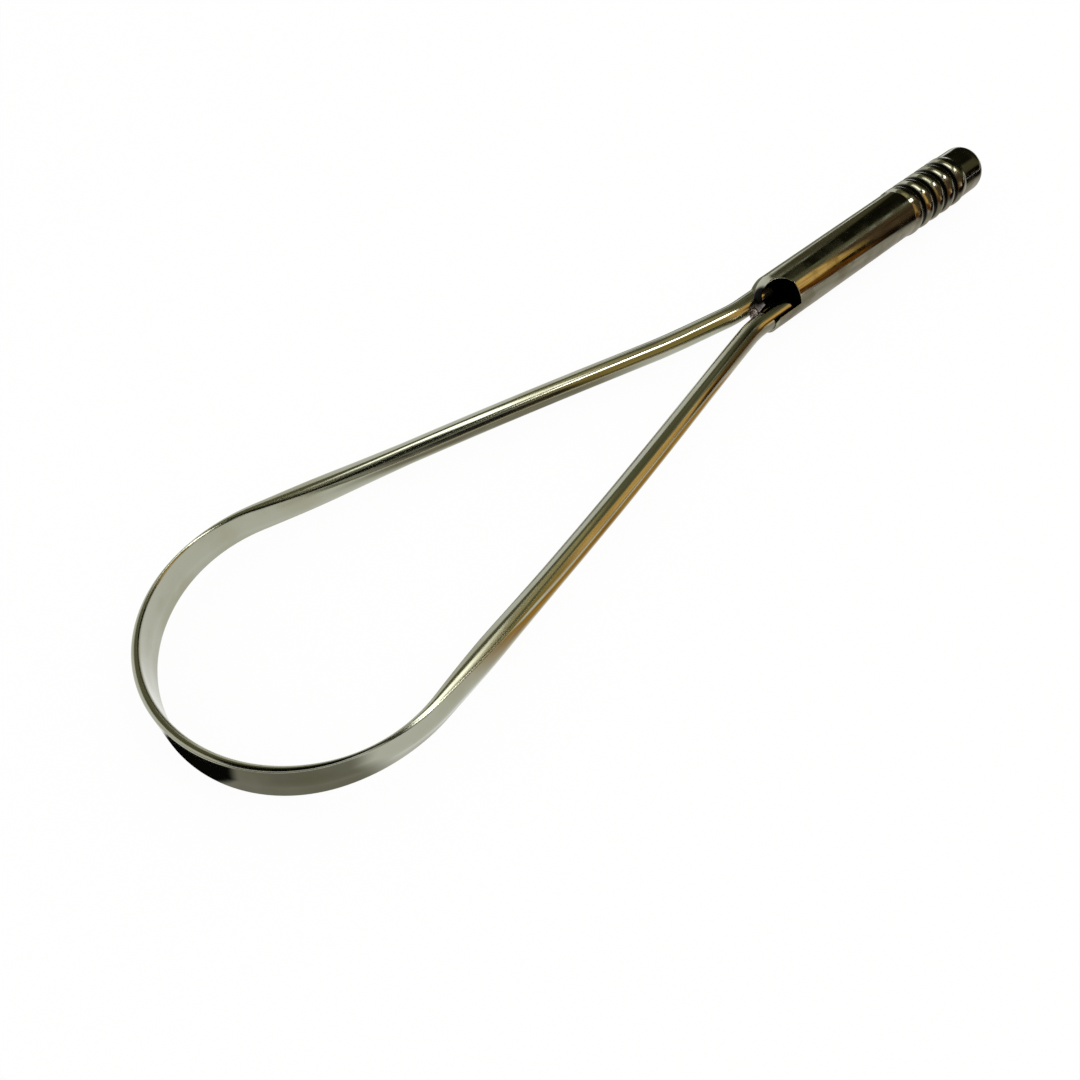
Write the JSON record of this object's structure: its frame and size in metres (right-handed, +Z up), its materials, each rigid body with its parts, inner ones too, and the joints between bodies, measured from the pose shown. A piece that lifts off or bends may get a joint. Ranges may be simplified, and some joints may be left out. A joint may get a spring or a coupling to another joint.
{
  "type": "tongue scraper",
  "caption": "Tongue scraper: a turned round handle with raised grip rings and a teardrop wire loop whose wide end is a thin upright scraping strip.",
  "frame": {"origin": "centre of the bounding box in plan, at the height of its lowest point, which is the lower edge of the strip", "axes": "+X along the handle toward its butt, the loop toward -X; +Y across the loop; +Z up, square to the plane of the loop"},
  "size_m": [0.1578, 0.0438, 0.0086],
  "materials": {
    "handle_steel": "mirror-polished stainless steel",
    "loop_steel": "mirror-polished stainless steel"
  },
  "bodies": {
    "root": {"handle": "handle_steel", "scraping_loop": "loop_steel"}
  },
  "joints": []
}
